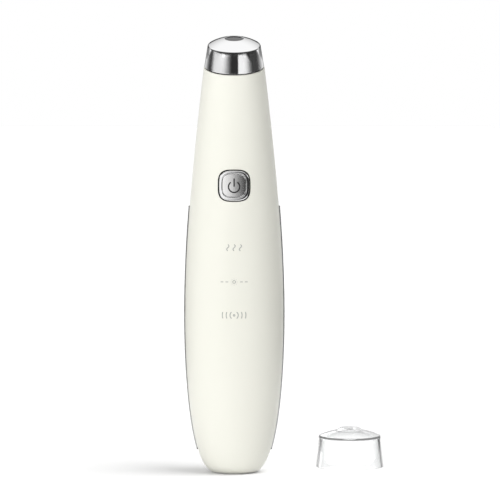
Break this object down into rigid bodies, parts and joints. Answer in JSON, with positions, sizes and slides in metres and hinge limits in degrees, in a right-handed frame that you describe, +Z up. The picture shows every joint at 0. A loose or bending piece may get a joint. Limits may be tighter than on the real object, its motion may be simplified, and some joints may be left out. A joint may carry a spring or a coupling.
{
  "type": "heated eye massager wand",
  "caption": "Slim handheld eye massager wand with a heated polished metal head, a power button and a loose clear cap.",
  "frame": {"origin": "centre of the flat foot, on the surface that the wand stands on", "axes": "+Z up along the handle; the button faces -Y; the loose cap stands towards +X"},
  "size_m": [0.0748, 0.0488, 0.1616],
  "materials": {
    "cream_plastic": "satin gloss",
    "trim_metal": "satin",
    "polished_metal": "mirror polish",
    "bezel_metal": "polished",
    "button_metal": "fine satin",
    "dark_ink": "satin",
    "smoked_plastic": "gloss",
    "clear_plastic": "clear gloss",
    "heater_foil": "amber film",
    "tinned_wire": "tinned",
    "circuit_board": "solder mask",
    "red_plastic": "gloss",
    "white_plastic": "matt",
    "black_plastic": "matt",
    "rubber": "matt",
    "plain_steel": "plain",
    "magnet": "plain",
    "copper_winding": "lacquered wire",
    "battery_film": "shrink film",
    "white_wire": "matt",
    "black_wire": "matt",
    "red_wire": "matt"
  },
  "bodies": {
    "handle": {"front_shell": "cream_plastic", "rear_shell": "cream_plastic", "left_trim_strip": "trim_metal", "right_trim_strip": "trim_metal", "massage_head": "polished_metal", "head_lens": "smoked_plastic", "heater_film": "heater_foil", "heater_leads": "tinned_wire", "thermistor": "black_plastic", "led_board": "circuit_board", "red_leds": "red_plastic", "head_core": "white_plastic", "head_o_ring": "rubber", "motor_can": "plain_steel", "motor_magnets": "magnet", "motor_end_cap": "white_plastic", "motor_sleeve": "rubber", "button_bezel": "bezel_metal", "switch_body": "black_plastic", "main_board": "circuit_board", "board_screws": "plain_steel", "board_chips": "black_plastic", "indicator_leds": "white_plastic", "indicator_shroud": "black_plastic", "head_connector": "white_plastic", "inner_frame": "white_plastic", "frame_screws": "plain_steel", "battery_cell": "battery_film", "battery_pad": "rubber", "charge_board": "circuit_board", "usb_socket": "plain_steel", "usb_tongue": "black_plastic", "head_leads": "white_wire", "motor_leads": "black_wire", "battery_leads": "red_wire", "charge_leads": "red_wire"},
    "button": {"power_button": "button_metal", "power_symbol": "dark_ink", "switch_plunger": "white_plastic"},
    "rotor": {"motor_shaft": "plain_steel", "motor_armature": "copper_winding", "eccentric_weight": "plain_steel"},
    "cap": {"protective_cap": "clear_plastic"}
  },
  "joints": [
    {"name": "button_press", "type": "slide", "parent": "handle", "child": "button", "axis": [0, 1, 0], "range_m": [0, 0.0004], "stiffness_N_per_m": 900},
    {"name": "motor_spin", "type": "hinge", "parent": "handle", "child": "rotor", "pos_m": [0, -0.00726, 0.1501], "axis": [0, -0.284, 0.9588], "continuous": true},
    {"name": "cap_lift", "type": "slide", "parent": "handle", "child": "cap", "axis": [0, 0, 1], "range_m": [0, 0.06]}
  ]
}
